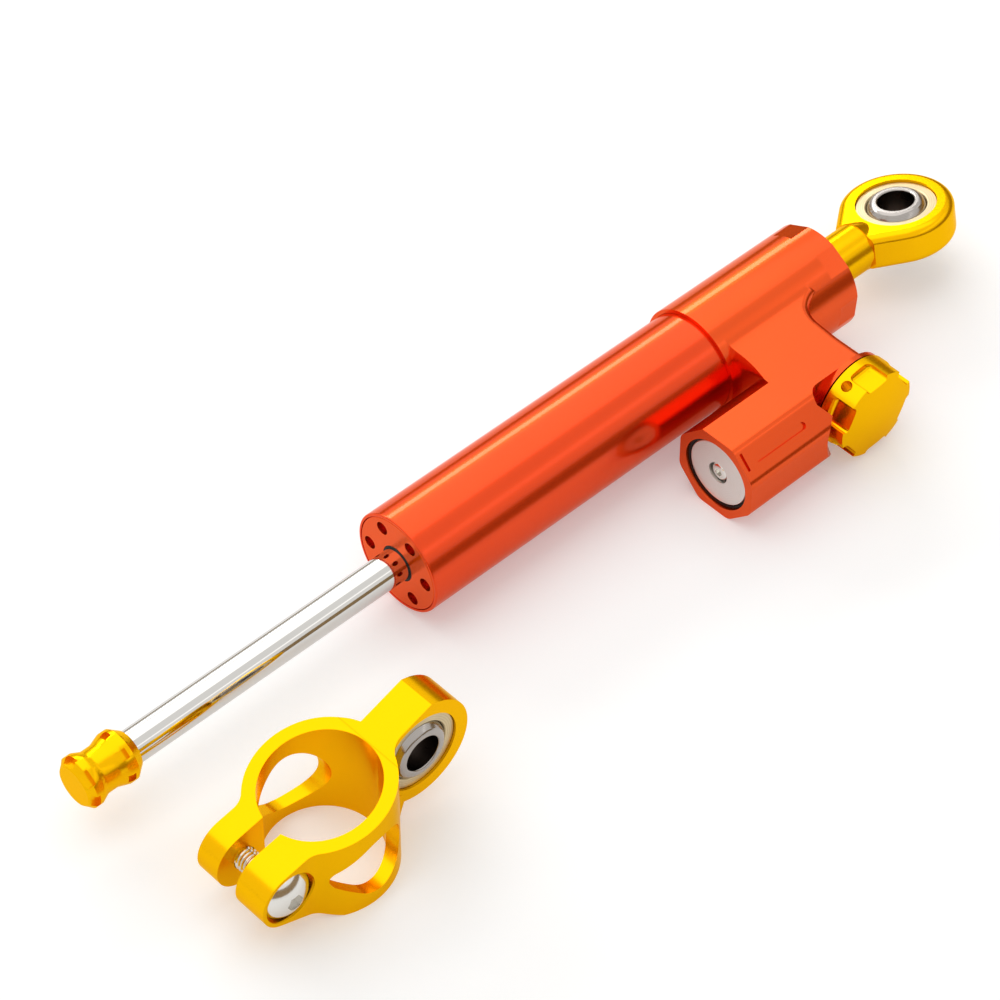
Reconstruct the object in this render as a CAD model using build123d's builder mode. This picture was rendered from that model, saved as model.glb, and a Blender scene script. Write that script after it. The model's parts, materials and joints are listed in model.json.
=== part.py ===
from build123d import *
import os
from math import cos, radians, sin, sqrt, tan

os.makedirs("parts", exist_ok=True)

# A motorcycle steering damper: a through-rod hydraulic damper with a side reservoir and a
# click adjuster, and beside it the loose clamp that holds its barrel to the frame.
# The damper's axis is X and the origin is the centre of the ball in its rear eye.
# +X points from the barrel to the eye, +Z is up, and the adjuster looks along -Y.

# Stations along the damper
eye_to_head = 32.5
head_length = 47.25
barrel_showing = 102.75
rod_showing = 85.3
spool_length = 16.6

# Diameters along the damper
barrel_diameter = 28.5
head_diameter = 30.8
chamber_diameter = 24.0
rod_diameter = 9.0

# Clearances
running_gap = 0.05
seat_gap = 0.05
pin_gap = 0.1
overrun = 2.0

# Edge breaks
fine_chamfer = 0.3

# Spherical bearings, the same in both eyes
ball_bore_diameter = 10.0
ball_diameter = 18.0
ball_width = 12.0
race_diameter = 22.0
race_width = 9.0
race_mouth_chamfer = 0.6

# Barrel tube and its front gland
tube_in_head = 14.0
cap_rim = 0.85
cap_thickness = 8.0
gland_nose_length = 6.0
pin_hole_circle = 20.2
pin_hole_diameter = 3.6
pin_hole_depth = 3.0
pin_hole_count = 6
pin_hole_turn = 58.2
wiper_width = 0.5
wiper_depth = 3.0
bush_wall = 1.5
bush_length = 7.0
oring_section = 1.8
oring_groove_width = 2.2

# Glands in the head
inner_gland_length = 12.7
inner_gland_ports = 4
inner_gland_port_circle = 17.2
inner_gland_port_diameter = 2.0
gland_pocket_diameter = 20.0
gland_pocket_depth = 2.0
rod_passage_diameter = 10.4
rear_seat_diameter = 21.0
rear_seat_depth = 12.0
rear_seal_length = 4.0
rear_cap_clearance = 0.4
rear_pin_circle = 15.4
rear_pin_diameter = 2.5
rear_pin_count = 4

# Piston and what holds it on the rod
piston_width = 12.0
piston_diameter = 23.2
piston_front_gap = 3.5
piston_port_count = 6
piston_port_circle = 14.6
piston_port_diameter = 2.2
band_width = 8.0
band_wall = 1.3
clip_wall = 1.8
clip_thickness = 1.2
clip_groove_depth = 0.6

# Spool on the rod's front end
spool_diameter = 14.0
spool_waist_diameter = 11.8
spool_nose = 1.7
spool_front_band = 1.9
spool_front_cone = 2.4
spool_waist = 3.0
spool_rear_cone = 3.2
spool_rear_band = 2.0
spool_tail_drop = 1.9
spool_socket_wall = 3.0
spool_notch_count = 6
spool_notch_turn = 8.0
spool_notch_width = 4.0
spool_notch_length = 2.6
spool_notch_depth = 1.4
spool_notch_rim = 1.1
spool_rear_notch_width = 2.6
spool_rear_notch_length = 2.0

# Rear eye
eye_diameter = 31.2
eye_thickness = 10.5
eye_roll = 12.8
eye_edge_round = 2.4
neck_x = -16.5
neck_end_x = -11.8
shank_diameter = 14.0
shank_step = 0.2
shank_gap = 1.0
rod_end_x = -15.5

# Head: sleeve, web and reservoir in one block
flat_count = 6
flat_length = 6.6
flat_span = 27.0
flat_turn = 33.0
reservoir_across = 25.2
reservoir_corner = 3.6
reservoir_offset = 31.0
reservoir_ahead = 22.25
web_front_step = 1.75
web_length = 25.8
web_rise = 2.5
web_sleeve_blend = 9.0
web_tail_blend = 7.4
web_tail_inset = 3.9
web_tail_round = 2.5
web_hollow_place = 16.6
web_hollow_radius = 35.0
web_hollow_depth = 1.15
web_hollow_lean = 66.5
web_hollow_reach = 8.0
groove_width = 2.0
groove_depth = 0.7
groove_start = 4.7
groove_length = 18.2
slit_width = 0.8
slit_length = 5.0
slit_depth = 1.0
slit_start = 1.6
slit_shift = 0.9

# Reservoir bore and what closes it
reservoir_bore_diameter = 19.8
reservoir_bore_depth = 26.0
reservoir_mouth_diameter = 20.9
reservoir_mouth_depth = 2.6
plug_recess = 0.9
plug_thickness = 6.0
plug_face_diameter = 19.4
plug_ring_thickness = 1.2
screw_recess_diameter = 6.2
screw_recess_depth = 2.6
screw_head_diameter = 5.4
screw_head_height = 1.8
screw_head_round = 0.9
screw_shank_diameter = 3.0
screw_shank_length = 3.0
screw_socket = 2.0
screw_socket_depth = 1.1
float_back = 12.5
float_width = 8.0
float_cup_wall = 2.0
float_cup_depth = 4.0
float_groove_back = 0.9

# Adjuster's recess in the head
recess_length = 21.0
recess_inset = 3.4
recess_corner = 4.0
recess_lip = 2.8
recess_lip_reach = 3.6
recess_diameter = 29.2
recess_flare = 2.4
recess_flare_start = 7.1
boss_diameter = 24.8
boss_height = 1.5

# Adjuster knob and valve
knob_from_rear = 5.1
knob_lift = 0.8
knob_gap = 0.6
knob_diameter = 25.4
knob_height = 8.5
knob_dome = 1.5
knob_pocket_count = 6
knob_pocket_turn = 35.0
knob_pocket_width = 7.6
knob_pocket_depth = 1.9
knob_pocket_start = 2.2
knob_pocket_corner = 1.4
knob_pocket_round = 1.2
grub_turn = 121.0
grub_height = 3.2
grub_diameter = 3.0
grub_length = 4.0
stem_diameter = 6.0
stem_in_knob = 6.0
stem_in_head = 11.0
stem_bore_depth = 9.0
valve_bush_diameter = 9.0
valve_bush_length = 9.0
valve_chamber_diameter = 6.6
valve_chamber_depth = 8.5
needle_diameter = 3.0
needle_room = 1.0
needle_cone = 2.6
needle_tip_diameter = 1.0
needle_reach = 1.05
seat_hole_diameter = 2.0
feed_hole_diameter = 2.4
feed_hole_offset = 8.0

# Clamp: ring, ears and eye. Its ring stands upright on the table beside the damper.
clamp_x = -247.9
clamp_y = -45.8
clamp_bore_diameter = 29.6
clamp_wall = 3.4
clamp_crease_out = 15.0
clamp_crease_up = 29.3
clamp_shoulder_slope = 19.6
clamp_foot = 8.0
clamp_ear_out = 20.5
clamp_ear_up = 14.3
clamp_ear_radius = 8.2
clamp_front_ear = 12.5
clamp_back_ear = 10.5
clamp_ear_blend = 5.0
clamp_eye_out = 26.7
clamp_eye_up = 20.4
clamp_eye_diameter = 29.52
clamp_eye_thickness = 10.4
clamp_eye_blend = 5.0
clamp_back_blend = 12.0
clamp_spot_diameter = 25.0
clamp_spot_front = 3.8
clamp_slit = 6.4
clamp_slit_shift = 0.3
window_radius = 9.0
window_out = 2.4
window_up = 12.5
window_tip_radius = 3.3
window_tip_out = 7.4
window_tip_up = 13.4

# Pinch bolt
bolt_diameter = 6.0
bolt_head_diameter = 13.0
bolt_head_height = 4.4
bolt_head_rim = 1.4
bolt_recess_diameter = 14.2
bolt_recess_depth = 2.4
bolt_end_room = 0.6
bolt_socket = 4.0
bolt_socket_depth = 2.2

# Worked-out radii
barrel_radius = barrel_diameter / 2
head_radius = head_diameter / 2
chamber_radius = chamber_diameter / 2
rod_radius = rod_diameter / 2
slide_radius = rod_radius + running_gap
race_radius = race_diameter / 2
ball_radius = ball_diameter / 2
seat_radius = race_radius + seat_gap
table_z = -head_radius

# Worked-out stations
head_rear_x = -eye_to_head
head_front_x = head_rear_x - head_length
barrel_front_x = head_front_x - barrel_showing
spool_rear_x = barrel_front_x - rod_showing
spool_front_x = spool_rear_x - spool_length
tube_rear_x = head_front_x + tube_in_head
cap_rear_x = barrel_front_x + cap_thickness
chamber_front_x = cap_rear_x + gland_nose_length
piston_front_x = chamber_front_x + piston_front_gap
piston_rear_x = piston_front_x + piston_width
rear_seat_x = head_rear_x - rear_seat_depth

# Worked-out places on the head
half_across = reservoir_across / 2
reservoir_y = -reservoir_offset
reservoir_z = table_z + half_across
reservoir_front_x = head_front_x - reservoir_ahead
web_tail_edge = head_radius - web_tail_inset
web_front_x = head_front_x + web_front_step
web_rear_x = web_front_x + web_length
floor_y = reservoir_y - recess_inset
boss_y = floor_y - boss_height
knob_x = web_rear_x - knob_from_rear
knob_z = reservoir_z + knob_lift
knob_base_y = boss_y - knob_gap
knob_radius = knob_diameter / 2


def across(x):
    """Plane square to the damper's axis at a station, its x along Y and its y along Z."""
    return Plane(origin=(x, 0, 0), x_dir=(0, 1, 0), z_dir=(1, 0, 0))


def outward(y):
    """Plane on the adjuster's axis that looks outward, its x along X and its y along Z."""
    return Plane(origin=(knob_x, y, knob_z), x_dir=(1, 0, 0), z_dir=(0, -1, 0))


def race_profile():
    """Half section of a bearing's outer race: x is the radius and y runs along the bore."""
    with BuildSketch() as profile:
        with Locations((race_radius / 2, 0)):
            Rectangle(race_radius, race_width)
        Circle(ball_radius + running_gap, mode=Mode.SUBTRACT)
    return profile.sketch


def ball_profile():
    """Half section of a bearing's bored ball: x is the radius and y runs along the bore."""
    with BuildSketch() as profile:
        Circle(ball_radius)
        Rectangle(ball_diameter, ball_width, mode=Mode.INTERSECT)
        with Locations((ball_bore_diameter / 2 - ball_radius, 0)):
            Rectangle(ball_diameter, ball_width, mode=Mode.SUBTRACT)
    return profile.sketch


race_half = race_profile()
ball_half = ball_profile()

# Barrel tube: a plain bore with a wider seat for the front gland
with BuildPart() as barrel_tube:
    with BuildSketch(across(barrel_front_x)):
        Circle(barrel_radius)
        Circle(chamber_radius, mode=Mode.SUBTRACT)
    extrude(amount=tube_rear_x - barrel_front_x)
    with BuildSketch(across(barrel_front_x)):
        Circle(barrel_radius - cap_rim)
    extrude(amount=cap_thickness, mode=Mode.SUBTRACT)
    front_edges = barrel_tube.edges().filter_by(GeomType.CIRCLE).group_by(Axis.X)[0]
    chamfer(front_edges.sort_by(SortBy.RADIUS)[-1:], fine_chamfer)
barrel_tube.part.label = "barrel_tube"
export_step(barrel_tube.part, "parts/barrel_tube.step")

# Front gland: a cap with pin-spanner holes, a nose that carries the O-ring, a seat for the
# wiper at its mouth and one for the rod bush at its inner end
nose_radius = chamber_radius - seat_gap
bush_radius = slide_radius + bush_wall
wiper_radius = slide_radius + wiper_width
groove_radius = nose_radius - oring_section
groove_x = cap_rear_x + (gland_nose_length - oring_groove_width) / 2
cap_radius = barrel_radius - cap_rim - seat_gap
with BuildPart() as front_gland:
    with BuildSketch(Plane.XZ):
        with BuildLine():
            Polyline(
                (barrel_front_x, wiper_radius + seat_gap),
                (barrel_front_x, cap_radius - fine_chamfer),
                (barrel_front_x + fine_chamfer, cap_radius),
                (cap_rear_x, cap_radius),
                (cap_rear_x, nose_radius),
                (groove_x, nose_radius),
                (groove_x, groove_radius),
                (groove_x + oring_groove_width, groove_radius),
                (groove_x + oring_groove_width, nose_radius),
                (chamber_front_x, nose_radius),
                (chamber_front_x, bush_radius + seat_gap),
                (chamber_front_x - bush_length, bush_radius + seat_gap),
                (chamber_front_x - bush_length, slide_radius),
                (barrel_front_x + wiper_depth, slide_radius),
                (barrel_front_x + wiper_depth, wiper_radius + seat_gap),
                close=True,
            )
        make_face()
    revolve(axis=Axis.X)
    with BuildSketch(across(barrel_front_x)):
        with PolarLocations(pin_hole_circle / 2, pin_hole_count, start_angle=pin_hole_turn):
            Circle(pin_hole_diameter / 2)
    extrude(amount=pin_hole_depth, mode=Mode.SUBTRACT)
front_gland.part.label = "front_gland"
export_step(front_gland.part, "parts/front_gland.step")

# Wiper: the dark lip round the rod at the front gland's mouth
with BuildPart() as front_wiper:
    with BuildSketch(across(barrel_front_x)):
        Circle(wiper_radius)
        Circle(slide_radius, mode=Mode.SUBTRACT)
    extrude(amount=wiper_depth)
front_wiper.part.label = "front_wiper"
export_step(front_wiper.part, "parts/front_wiper.step")

# Rod bush in the front gland
with BuildPart() as front_bush:
    with BuildSketch(across(chamber_front_x - bush_length)):
        Circle(bush_radius)
        Circle(slide_radius, mode=Mode.SUBTRACT)
    extrude(amount=bush_length)
front_bush.part.label = "front_bush"
export_step(front_bush.part, "parts/front_bush.step")

# O-ring round the front gland's nose
with BuildPart() as front_oring:
    with BuildSketch(Plane.XZ):
        with Locations((groove_x + oring_groove_width / 2, groove_radius + oring_section / 2)):
            Circle(oring_section / 2)
    revolve(axis=Axis.X)
front_oring.part.label = "front_oring"
export_step(front_oring.part, "parts/front_oring.step")

# Head block: the sleeve round the barrel's end, the web, and the side reservoir with the
# adjuster's recess at its rear
octagon_share = tan(radians(22.5))
diagonal_share = sqrt(0.5)
crease_y = reservoir_y + half_across * octagon_share
crease_z = reservoir_z + half_across
web_top_z = crease_z + web_rise
web_low_z = web_top_z - web_rise * reservoir_offset / abs(crease_y)
flat_radius = head_radius * cos(radians(flat_span / 2))
recess_front_x = web_rear_x - recess_length
outside_y = 2 * reservoir_y
hollow_z = web_top_z - web_rise * web_hollow_place / abs(crease_y)
hollow_plane = Plane(
    origin=(web_front_x, -web_hollow_place, hollow_z),
    x_dir=(0, 1, 0),
    z_dir=(cos(radians(web_hollow_lean)), 0, sin(radians(web_hollow_lean))),
)


def facet(x):
    """Plane on the reservoir's upper outer facet at a station, its x along X."""
    facet_y = reservoir_y - half_across * diagonal_share
    facet_z = reservoir_z + half_across * diagonal_share
    direction = (0, -diagonal_share, diagonal_share)
    return Plane(origin=(x, facet_y, facet_z), x_dir=(1, 0, 0), z_dir=direction)


def on_tail_top(edge):
    """Whether an edge is the web's straight or hollow one at its rear top."""
    middle = edge.center()
    return middle.X > web_rear_x - fine_chamfer and middle.Z > crease_z - fine_chamfer


with BuildPart() as head_block:
    # Web with the sleeve's round, blended where the two meet
    with BuildSketch(across(web_front_x)) as web_section:
        with BuildLine():
            Polyline(
                (0, web_top_z),
                (crease_y, crease_z),
                (reservoir_y, crease_z),
                (reservoir_y, -web_low_z),
                (0, -web_top_z),
                close=True,
            )
        make_face()
        Circle(head_radius)
        meetings = web_section.vertices().filter_by(lambda corner: -head_radius < corner.X < 0)
        fillet(meetings, web_sleeve_blend)
    extrude(amount=web_length + web_tail_blend)
    # Shallow hollow milled across the web's front top edge
    with BuildSketch(hollow_plane):
        with Locations((0, web_hollow_radius - web_hollow_depth)):
            Circle(web_hollow_radius)
    extrude(amount=web_hollow_reach, both=True, mode=Mode.SUBTRACT)
    # Reservoir: an octagon whose inner top corner stays sharp
    with BuildSketch(across(reservoir_front_x)) as reservoir_section:
        with Locations((reservoir_y, reservoir_z)):
            RegularPolygon(half_across, 8, major_radius=False, rotation=22.5)
        inner_top = reservoir_section.vertices().sort_by(Axis.Y)[-2:].sort_by(Axis.X)[-1]
        rounded = reservoir_section.vertices().filter_by(lambda corner: corner != inner_top)
        fillet(rounded, reservoir_corner)
    extrude(amount=web_rear_x - reservoir_front_x)
    # Tail of the web: square behind the reservoir, then a hollow curve up to the sleeve
    curve_end_x = web_rear_x + web_tail_blend
    curve_start_y = -web_tail_edge - web_tail_blend
    curve_inset = web_tail_blend * (1 - diagonal_share)
    with BuildSketch(Plane.XY.offset(-reservoir_across)):
        with BuildLine():
            Line((web_rear_x, outside_y), (web_rear_x, curve_start_y))
            ThreePointArc(
                (web_rear_x, curve_start_y),
                (web_rear_x + curve_inset, -web_tail_edge - curve_inset),
                (curve_end_x, -web_tail_edge),
            )
            Line((curve_end_x, -web_tail_edge), (curve_end_x + overrun, -web_tail_edge))
            Line((curve_end_x + overrun, -web_tail_edge), (curve_end_x + overrun, outside_y))
            Line((curve_end_x + overrun, outside_y), (web_rear_x, outside_y))
        make_face()
    extrude(amount=2 * reservoir_across, mode=Mode.SUBTRACT)
    tail_edges = head_block.edges().filter_by(on_tail_top)
    fillet(tail_edges, web_tail_round)
    # Sleeve, with six short wrench flats at its rear end
    with BuildSketch(across(head_front_x)):
        Circle(head_radius)
    extrude(amount=head_length)
    with BuildSketch(across(head_rear_x - flat_length)):
        Circle(head_radius + overrun)
        RegularPolygon(
            flat_radius, flat_count, major_radius=False, rotation=flat_turn, mode=Mode.SUBTRACT
        )
    extrude(amount=flat_length, mode=Mode.SUBTRACT)
    # Adjuster's recess: a cut from the side, then a flared round one about the knob
    with BuildSketch(Plane.XY.offset(-reservoir_across)) as side_cut:
        with BuildLine():
            Polyline(
                (recess_front_x, floor_y),
                (web_rear_x + overrun, floor_y),
                (web_rear_x + overrun, outside_y),
                (recess_front_x + recess_lip, outside_y),
                (recess_front_x + recess_lip, floor_y - recess_corner - recess_lip_reach),
                (recess_front_x, floor_y - recess_corner),
                close=True,
            )
        make_face()
        inner_corner = side_cut.vertices().group_by(Axis.X)[0].sort_by(Axis.Y)[-1:]
        fillet(inner_corner, recess_corner - fine_chamfer)
    extrude(amount=2 * reservoir_across, mode=Mode.SUBTRACT)
    with BuildSketch(outward(floor_y)):
        Circle(recess_diameter / 2)
    extrude(amount=reservoir_across, mode=Mode.SUBTRACT)
    with BuildSketch(outward(floor_y - recess_flare_start)):
        Circle(recess_diameter / 2)
    with BuildSketch(outward(floor_y - recess_flare_start - recess_flare)):
        Circle(recess_diameter / 2 + recess_flare)
    loft(mode=Mode.SUBTRACT)
    with BuildSketch(outward(floor_y)):
        Circle(boss_diameter / 2)
    extrude(amount=boss_height)
    # Rounded groove and short slit on the reservoir's upper outer facet
    with BuildSketch(facet(reservoir_front_x + groove_start + groove_length / 2)):
        SlotOverall(groove_length, groove_width)
    extrude(amount=-groove_depth, mode=Mode.SUBTRACT)
    with BuildSketch(facet(reservoir_front_x + slit_start)):
        with Locations((0, slit_shift)):
            Rectangle(slit_width, slit_length)
    extrude(amount=-slit_depth, mode=Mode.SUBTRACT)
    # Bore for the barrel, the pocket behind it, the rod passage and the rear seat
    with BuildSketch(across(head_front_x)):
        Circle(barrel_radius + seat_gap)
    extrude(amount=tube_in_head, mode=Mode.SUBTRACT)
    with BuildSketch(across(tube_rear_x)):
        Circle(gland_pocket_diameter / 2)
    extrude(amount=gland_pocket_depth, mode=Mode.SUBTRACT)
    with BuildSketch(across(tube_rear_x)):
        Circle(rod_passage_diameter / 2)
    extrude(amount=head_length, mode=Mode.SUBTRACT)
    with BuildSketch(across(rear_seat_x)):
        Circle(rear_seat_diameter / 2)
    extrude(amount=rear_seat_depth, mode=Mode.SUBTRACT)
    # Reservoir bore and its wider mouth
    with BuildSketch(across(reservoir_front_x)):
        with Locations((reservoir_y, reservoir_z)):
            Circle(reservoir_bore_diameter / 2)
    extrude(amount=reservoir_bore_depth, mode=Mode.SUBTRACT)
    with BuildSketch(across(reservoir_front_x)):
        with Locations((reservoir_y, reservoir_z)):
            Circle(reservoir_mouth_diameter / 2)
    extrude(amount=reservoir_mouth_depth, mode=Mode.SUBTRACT)
    # Valve bore, its chamber, the seat hole to the rod passage and the feed hole
    chamber_y = boss_y + valve_bush_length
    valve_seat_y = chamber_y + valve_chamber_depth
    with BuildSketch(outward(valve_seat_y)):
        Circle(valve_chamber_diameter / 2)
    extrude(amount=valve_chamber_depth, mode=Mode.SUBTRACT)
    with BuildSketch(outward(chamber_y)):
        Circle(valve_bush_diameter / 2 + seat_gap)
    extrude(amount=valve_bush_length, mode=Mode.SUBTRACT)
    with BuildSketch(outward(0)):
        Circle(seat_hole_diameter / 2)
    extrude(amount=-valve_seat_y, mode=Mode.SUBTRACT)
    with BuildSketch(across(reservoir_front_x + reservoir_bore_depth)):
        with Locations((reservoir_y + feed_hole_offset, knob_z)):
            Circle(feed_hole_diameter / 2)
    extrude(amount=knob_x - reservoir_front_x - reservoir_bore_depth, mode=Mode.SUBTRACT)
head_block.part.label = "head_block"
export_step(head_block.part, "parts/head_block.step")

# Inner gland: the plug in the barrel's rear end, with ports round its rod bush
gland_front_x = tube_rear_x - inner_gland_length
with BuildPart() as inner_gland:
    with BuildSketch(across(gland_front_x)):
        Circle(chamber_radius - seat_gap)
        Circle(bush_radius + seat_gap, mode=Mode.SUBTRACT)
        with PolarLocations(inner_gland_port_circle / 2, inner_gland_ports):
            Circle(inner_gland_port_diameter / 2, mode=Mode.SUBTRACT)
    extrude(amount=inner_gland_length)
inner_gland.part.label = "inner_gland"
export_step(inner_gland.part, "parts/inner_gland.step")

# Rod bush in the inner gland
with BuildPart() as inner_bush:
    with BuildSketch(across(gland_front_x)):
        Circle(bush_radius)
        Circle(slide_radius, mode=Mode.SUBTRACT)
    extrude(amount=inner_gland_length)
inner_bush.part.label = "inner_bush"
export_step(inner_bush.part, "parts/inner_bush.step")

# Rod seal at the bottom of the head's rear seat
with BuildPart() as rear_seal:
    with BuildSketch(across(rear_seat_x)):
        Circle(rear_seat_diameter / 2 - seat_gap)
        Circle(slide_radius, mode=Mode.SUBTRACT)
    extrude(amount=rear_seal_length)
rear_seal.part.label = "rear_seal"
export_step(rear_seal.part, "parts/rear_seal.step")

# Rear cap: the ring with pin-spanner holes that holds the rod seal in
rear_cap_x = rear_seat_x + rear_seal_length
with BuildPart() as rear_cap:
    with BuildSketch(across(rear_cap_x)):
        Circle(rear_seat_diameter / 2 - seat_gap)
        Circle(rod_radius + rear_cap_clearance, mode=Mode.SUBTRACT)
    extrude(amount=head_rear_x - rear_cap_x)
    with BuildSketch(across(head_rear_x)):
        with PolarLocations(rear_pin_circle / 2, rear_pin_count):
            Circle(rear_pin_diameter / 2)
    extrude(amount=-pin_hole_depth, mode=Mode.SUBTRACT)
rear_cap.part.label = "rear_cap"
export_step(rear_cap.part, "parts/rear_cap.step")

# Reservoir plug: a disc with a smaller bright face and a recess for the gas screw
plug_front_x = reservoir_front_x + plug_recess
ring_rear_x = plug_front_x + plug_ring_thickness
plug_rear_x = plug_front_x + plug_thickness
with BuildPart() as reservoir_plug:
    with BuildSketch(across(plug_front_x)):
        with Locations((reservoir_y, reservoir_z)):
            Circle(plug_face_diameter / 2)
    extrude(amount=plug_thickness)
    chamfer(reservoir_plug.edges().group_by(Axis.X)[0], fine_chamfer)
    with BuildSketch(across(ring_rear_x)):
        with Locations((reservoir_y, reservoir_z)):
            Circle(reservoir_bore_diameter / 2 - seat_gap)
    extrude(amount=plug_rear_x - ring_rear_x)
    with BuildSketch(across(plug_front_x)):
        with Locations((reservoir_y, reservoir_z)):
            Circle(screw_recess_diameter / 2)
    extrude(amount=screw_recess_depth, mode=Mode.SUBTRACT)
    with BuildSketch(across(plug_front_x)):
        with Locations((reservoir_y, reservoir_z)):
            Circle(screw_shank_diameter / 2 + seat_gap)
    extrude(amount=plug_thickness, mode=Mode.SUBTRACT)
reservoir_plug.part.label = "reservoir_plug"
export_step(reservoir_plug.part, "parts/reservoir_plug.step")

# Dark retaining ring between the plug's face and the reservoir's mouth
with BuildPart() as plug_ring:
    with BuildSketch(across(plug_front_x)):
        with Locations((reservoir_y, reservoir_z)):
            Circle(reservoir_mouth_diameter / 2 - seat_gap)
            Circle(plug_face_diameter / 2 + seat_gap, mode=Mode.SUBTRACT)
    extrude(amount=plug_ring_thickness)
plug_ring.part.label = "plug_ring"
export_step(plug_ring.part, "parts/plug_ring.step")

# Gas screw: the domed screw in the plug's recess, which closes the filling hole
screw_rear_x = plug_front_x + screw_recess_depth
screw_front_x = screw_rear_x - screw_head_height
with BuildPart() as gas_screw:
    with BuildSketch(across(screw_front_x)):
        with Locations((reservoir_y, reservoir_z)):
            Circle(screw_head_diameter / 2)
    extrude(amount=screw_head_height)
    fillet(gas_screw.edges().group_by(Axis.X)[0], screw_head_round)
    with BuildSketch(across(screw_rear_x)):
        with Locations((reservoir_y, reservoir_z)):
            Circle(screw_shank_diameter / 2)
    extrude(amount=screw_shank_length)
    with BuildSketch(across(screw_front_x)):
        with Locations((reservoir_y, reservoir_z)):
            RegularPolygon(screw_socket / 2, 6, major_radius=False)
    extrude(amount=screw_socket_depth, mode=Mode.SUBTRACT)
gas_screw.part.label = "gas_screw"
export_step(gas_screw.part, "parts/gas_screw.step")

# Floating piston: a cup that parts the gas behind the plug from the oil
float_front_x = reservoir_front_x + float_back
float_rear_x = float_front_x + float_width
float_radius = reservoir_bore_diameter / 2 - running_gap
float_groove_x = float_rear_x - float_groove_back - oring_groove_width
with BuildPart() as floating_piston:
    with BuildSketch(across(float_front_x)):
        with Locations((reservoir_y, reservoir_z)):
            Circle(float_radius)
    extrude(amount=float_width)
    with BuildSketch(across(float_front_x)):
        with Locations((reservoir_y, reservoir_z)):
            Circle(float_radius - float_cup_wall)
    extrude(amount=float_cup_depth, mode=Mode.SUBTRACT)
    with BuildSketch(across(float_groove_x)):
        with Locations((reservoir_y, reservoir_z)):
            Circle(float_radius + overrun)
            Circle(float_radius - oring_section, mode=Mode.SUBTRACT)
    extrude(amount=oring_groove_width, mode=Mode.SUBTRACT)
floating_piston.part.label = "floating_piston"
export_step(floating_piston.part, "parts/floating_piston.step")

# O-ring in the floating piston's groove
float_axis = Axis((0, reservoir_y, reservoir_z), (1, 0, 0))
with BuildPart() as floating_oring:
    with BuildSketch(Plane.XZ.offset(-reservoir_y)):
        with Locations(
            (
                float_groove_x + oring_groove_width / 2,
                reservoir_z + float_radius - oring_section / 2,
            )
        ):
            Circle(oring_section / 2)
    revolve(axis=float_axis)
floating_oring.part.label = "floating_oring"
export_step(floating_oring.part, "parts/floating_oring.step")

# Piston rod: one straight rod from the spool to the rear eye, with two clip grooves
rod_front_x = spool_front_x + spool_socket_wall
front_clip_x = piston_front_x - clip_thickness - seat_gap
rear_clip_x = piston_rear_x + seat_gap
with BuildPart() as rod:
    with BuildSketch(across(rod_front_x)):
        Circle(rod_radius)
    extrude(amount=rod_end_x - seat_gap - rod_front_x)
    with BuildSketch(across(front_clip_x - seat_gap), across(rear_clip_x - seat_gap)):
        Circle(rod_radius + overrun)
        Circle(rod_radius - clip_groove_depth, mode=Mode.SUBTRACT)
    extrude(amount=clip_thickness + 2 * seat_gap, mode=Mode.SUBTRACT)
rod.part.label = "rod"
export_step(rod.part, "parts/rod.step")

# Piston, with a groove for its band and a ring of flow ports
band_outer = chamber_radius - running_gap
band_inner = band_outer - band_wall
band_x = piston_front_x + (piston_width - band_width) / 2
with BuildPart() as piston:
    with BuildSketch(across(piston_front_x)):
        Circle(piston_diameter / 2)
        Circle(rod_radius + seat_gap, mode=Mode.SUBTRACT)
        with PolarLocations(piston_port_circle / 2, piston_port_count):
            Circle(piston_port_diameter / 2, mode=Mode.SUBTRACT)
    extrude(amount=piston_width)
    with BuildSketch(across(band_x - running_gap)):
        Circle(chamber_radius)
        Circle(band_inner - running_gap, mode=Mode.SUBTRACT)
    extrude(amount=band_width + 2 * running_gap, mode=Mode.SUBTRACT)
piston.part.label = "piston"
export_step(piston.part, "parts/piston.step")

# Piston band: the ring that slides in the barrel
with BuildPart() as piston_band:
    with BuildSketch(across(band_x)):
        Circle(band_outer)
        Circle(band_inner, mode=Mode.SUBTRACT)
    extrude(amount=band_width)
piston_band.part.label = "piston_band"
export_step(piston_band.part, "parts/piston_band.step")

# The two clips that hold the piston on the rod
with BuildPart() as piston_clips:
    with BuildSketch(across(front_clip_x), across(rear_clip_x)):
        Circle(rod_radius + clip_wall)
        Circle(rod_radius - clip_groove_depth + seat_gap, mode=Mode.SUBTRACT)
    extrude(amount=clip_thickness)
piston_clips.part.label = "piston_clips"
export_step(piston_clips.part, "parts/piston_clips.step")

# Spool: the waisted stop screwed on the rod's free front end
spool_radius = spool_diameter / 2
waist_radius = spool_waist_diameter / 2
band_one_x = spool_front_x + spool_nose
cone_one_x = band_one_x + spool_front_band
waist_x = cone_one_x + spool_front_cone
cone_two_x = waist_x + spool_waist
band_two_x = cone_two_x + spool_rear_cone
tail_x = band_two_x + spool_rear_band


def notch_planes(x):
    """Planes that touch the spool's largest round at a station, one for each notch."""
    step = 360 / spool_notch_count
    turns = [radians(spool_notch_turn + step * place) for place in range(spool_notch_count)]
    return [
        Plane(
            origin=(x, spool_radius * cos(turn), spool_radius * sin(turn)),
            x_dir=(1, 0, 0),
            z_dir=(0, cos(turn), sin(turn)),
        )
        for turn in turns
    ]


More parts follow.
